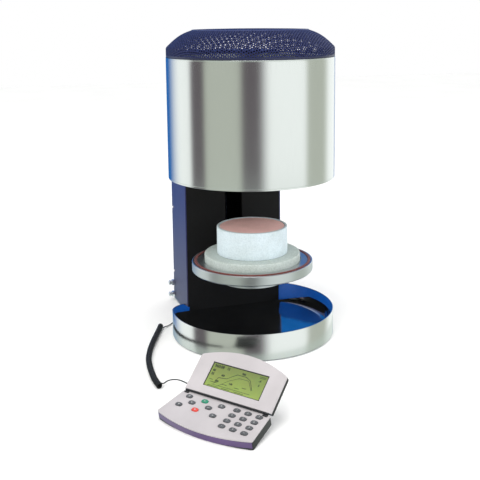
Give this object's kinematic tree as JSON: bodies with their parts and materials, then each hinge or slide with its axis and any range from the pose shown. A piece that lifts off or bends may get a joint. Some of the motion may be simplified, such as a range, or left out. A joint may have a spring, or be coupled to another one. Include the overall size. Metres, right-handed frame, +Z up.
{
  "type": "porcelain kiln",
  "caption": "Bottom-loading porcelain kiln: round steel head, elevator table on a column, round base pan and a corded clamshell handset.",
  "frame": {"origin": "centre of the outline on the surface that the kiln and its handset stand on", "axes": "+Z up; the kiln's front faces -Y and +X is on the right of someone who faces the front, so the handset lies towards -X and -Y"},
  "size_m": [0.3798, 0.6376, 0.5393],
  "materials": {
    "aluminium": "turned",
    "black_anodised": "black anodised",
    "black_enamel": "satin",
    "black_plastic": "fine grain",
    "black_rubber": "matt",
    "brushed_stainless": "brushed",
    "chromed_brass": "bright",
    "cord_sheath": "satin",
    "fibre_board": "fibre board, matt",
    "fibre_disc": "fibre board, matt",
    "fibre_pedestal": "fibre board, matt",
    "ground_steel": "ground",
    "heating_wire": "oxidised resistance wire",
    "key_green": "matt silicone",
    "key_grey": "matt silicone",
    "key_red": "matt silicone",
    "lid_shell": "fine grain",
    "navy_enamel": "satin",
    "perforated_sheet": "satin enamel on perforated sheet",
    "polished_stainless": "polished",
    "screen": "clear over liquid crystal",
    "silicone_seal": "silicone",
    "tray_ceramic": "unglazed",
    "violet_shell": "satin",
    "white_shell": "satin",
    "zinc_steel": "zinc plated"
  },
  "bodies": {
    "kiln_body": {"casing_shell": "brushed_stainless", "vent_cap": "perforated_sheet", "furnace_vessel": "zinc_steel", "insulation_block": "fibre_board", "heating_coil": "heating_wire", "base_ring": "brushed_stainless", "base_plate": "zinc_steel", "base_dish": "polished_stainless", "foot_front_left": "black_rubber", "foot_front_right": "black_rubber", "foot_back_left": "black_rubber", "foot_back_right": "black_rubber", "column_cover": "navy_enamel", "column_front": "black_enamel", "vacuum_port_upper": "chromed_brass", "vacuum_port_lower": "chromed_brass", "power_inlet": "black_plastic", "lift_frame": "black_enamel", "guide_rod_left": "ground_steel", "guide_rod_right": "ground_steel", "lift_motor": "black_anodised", "kiln_gland": "black_plastic", "cord_tail_kiln": "cord_sheath", "cord_curl": "cord_sheath", "cord_tail_handset": "cord_sheath"},
    "elevator": {"carriage": "aluminium", "lift_arm": "black_anodised", "lift_plate": "aluminium", "door_gasket": "silicone_seal", "insulation_disc": "fibre_disc", "pedestal": "fibre_pedestal"},
    "firing_tray": {"firing_tray": "tray_ceramic"},
    "lead_screw": {"lead_screw": "ground_steel"},
    "rocker": {"power_switch": "black_plastic"},
    "handset": {"handset_base": "violet_shell", "handset_deck": "white_shell", "handset_gland": "black_plastic"},
    "display": {"display_frame": "white_shell", "display_back": "lid_shell", "lcd_panel": "screen"},
    "key_0": {"key_0": "key_grey"},
    "key_1": {"key_1": "key_grey"},
    "key_2": {"key_2": "key_grey"},
    "key_3": {"key_3": "key_grey"},
    "key_4": {"key_4": "key_grey"},
    "key_5": {"key_5": "key_grey"},
    "key_6": {"key_6": "key_grey"},
    "key_7": {"key_7": "key_grey"},
    "key_8": {"key_8": "key_grey"},
    "key_9": {"key_9": "key_grey"},
    "key_back": {"key_back": "key_grey"},
    "key_dot": {"key_dot": "key_grey"},
    "key_down": {"key_down": "key_grey"},
    "key_enter": {"key_enter": "key_grey"},
    "key_menu": {"key_menu": "key_grey"},
    "key_minus": {"key_minus": "key_grey"},
    "key_night": {"key_night": "key_grey"},
    "key_start": {"key_start": "key_green"},
    "key_stop": {"key_stop": "key_red"},
    "key_up": {"key_up": "key_grey"}
  },
  "joints": [
    {"name": "elevator_lift", "type": "slide", "parent": "kiln_body", "child": "elevator", "axis": [0, 0, 1], "range_m": [0, 0.1508]},
    {"name": "screw_turn", "type": "hinge", "parent": "kiln_body", "child": "lead_screw", "pos_m": [0.04493, 0.26497, 0.0173], "axis": [0, 0, 1], "range_deg": [-0.01, 6786.5]},
    {"name": "tray_lift_off", "type": "slide", "parent": "elevator", "child": "firing_tray", "axis": [0, 0, 1], "range_m": [0, 0.04]},
    {"name": "display_tilt", "type": "hinge", "parent": "handset", "child": "display", "pos_m": [-0.09957, -0.22306, 0.02696], "axis": [0.6018, -0.7986, 0], "range_deg": [0, 149.5]},
    {"name": "handset_pull", "type": "slide", "parent": "kiln_body", "child": "handset", "axis": [0.6018, -0.7986, 0], "range_m": [0, 0.1]},
    {"name": "power_rocker", "type": "hinge", "parent": "kiln_body", "child": "rocker", "pos_m": [0.08993, 0.31527, 0.072], "axis": [1, 0, 0], "range_deg": [0, 16]},
    {"name": "key_0_press", "type": "slide", "parent": "handset", "child": "key_0", "axis": [0.166, 0.1251, -0.9781], "range_m": [0, 0.0008], "stiffness_N_per_m": 400, "springref_m": -0.0005},
    {"name": "key_1_press", "type": "slide", "parent": "handset", "child": "key_1", "axis": [0.166, 0.1251, -0.9781], "range_m": [0, 0.0008], "stiffness_N_per_m": 400, "springref_m": -0.0005},
    {"name": "key_2_press", "type": "slide", "parent": "handset", "child": "key_2", "axis": [0.166, 0.1251, -0.9781], "range_m": [0, 0.0008], "stiffness_N_per_m": 400, "springref_m": -0.0005},
    {"name": "key_3_press", "type": "slide", "parent": "handset", "child": "key_3", "axis": [0.166, 0.1251, -0.9781], "range_m": [0, 0.0008], "stiffness_N_per_m": 400, "springref_m": -0.0005},
    {"name": "key_4_press", "type": "slide", "parent": "handset", "child": "key_4", "axis": [0.166, 0.1251, -0.9781], "range_m": [0, 0.0008], "stiffness_N_per_m": 400, "springref_m": -0.0005},
    {"name": "key_5_press", "type": "slide", "parent": "handset", "child": "key_5", "axis": [0.166, 0.1251, -0.9781], "range_m": [0, 0.0008], "stiffness_N_per_m": 400, "springref_m": -0.0005},
    {"name": "key_6_press", "type": "slide", "parent": "handset", "child": "key_6", "axis": [0.166, 0.1251, -0.9781], "range_m": [0, 0.0008], "stiffness_N_per_m": 400, "springref_m": -0.0005},
    {"name": "key_7_press", "type": "slide", "parent": "handset", "child": "key_7", "axis": [0.166, 0.1251, -0.9781], "range_m": [0, 0.0008], "stiffness_N_per_m": 400, "springref_m": -0.0005},
    {"name": "key_8_press", "type": "slide", "parent": "handset", "child": "key_8", "axis": [0.166, 0.1251, -0.9781], "range_m": [0, 0.0008], "stiffness_N_per_m": 400, "springref_m": -0.0005},
    {"name": "key_9_press", "type": "slide", "parent": "handset", "child": "key_9", "axis": [0.166, 0.1251, -0.9781], "range_m": [0, 0.0008], "stiffness_N_per_m": 400, "springref_m": -0.0005},
    {"name": "key_back_press", "type": "slide", "parent": "handset", "child": "key_back", "axis": [0.166, 0.1251, -0.9781], "range_m": [0, 0.0008], "stiffness_N_per_m": 400, "springref_m": -0.0005},
    {"name": "key_dot_press", "type": "slide", "parent": "handset", "child": "key_dot", "axis": [0.166, 0.1251, -0.9781], "range_m": [0, 0.0008], "stiffness_N_per_m": 400, "springref_m": -0.0005},
    {"name": "key_down_press", "type": "slide", "parent": "handset", "child": "key_down", "axis": [0.166, 0.1251, -0.9781], "range_m": [0, 0.0008], "stiffness_N_per_m": 400, "springref_m": -0.0005},
    {"name": "key_enter_press", "type": "slide", "parent": "handset", "child": "key_enter", "axis": [0.166, 0.1251, -0.9781], "range_m": [0, 0.0008], "stiffness_N_per_m": 400, "springref_m": -0.0005},
    {"name": "key_menu_press", "type": "slide", "parent": "handset", "child": "key_menu", "axis": [0.166, 0.1251, -0.9781], "range_m": [0, 0.0008], "stiffness_N_per_m": 400, "springref_m": -0.0005},
    {"name": "key_minus_press", "type": "slide", "parent": "handset", "child": "key_minus", "axis": [0.166, 0.1251, -0.9781], "range_m": [0, 0.0008], "stiffness_N_per_m": 400, "springref_m": -0.0005},
    {"name": "key_night_press", "type": "slide", "parent": "handset", "child": "key_night", "axis": [0.166, 0.1251, -0.9781], "range_m": [0, 0.0008], "stiffness_N_per_m": 400, "springref_m": -0.0005},
    {"name": "key_start_press", "type": "slide", "parent": "handset", "child": "key_start", "axis": [0.166, 0.1251, -0.9781], "range_m": [0, 0.0008], "stiffness_N_per_m": 400, "springref_m": -0.0005},
    {"name": "key_stop_press", "type": "slide", "parent": "handset", "child": "key_stop", "axis": [0.166, 0.1251, -0.9781], "range_m": [0, 0.0008], "stiffness_N_per_m": 400, "springref_m": -0.0005},
    {"name": "key_up_press", "type": "slide", "parent": "handset", "child": "key_up", "axis": [0.166, 0.1251, -0.9781], "range_m": [0, 0.0008], "stiffness_N_per_m": 400, "springref_m": -0.0005}
  ],
  "couplings": [
    {"joint": "screw_turn", "follows": "elevator_lift", "rad_per_m": 785.4}
  ]
}
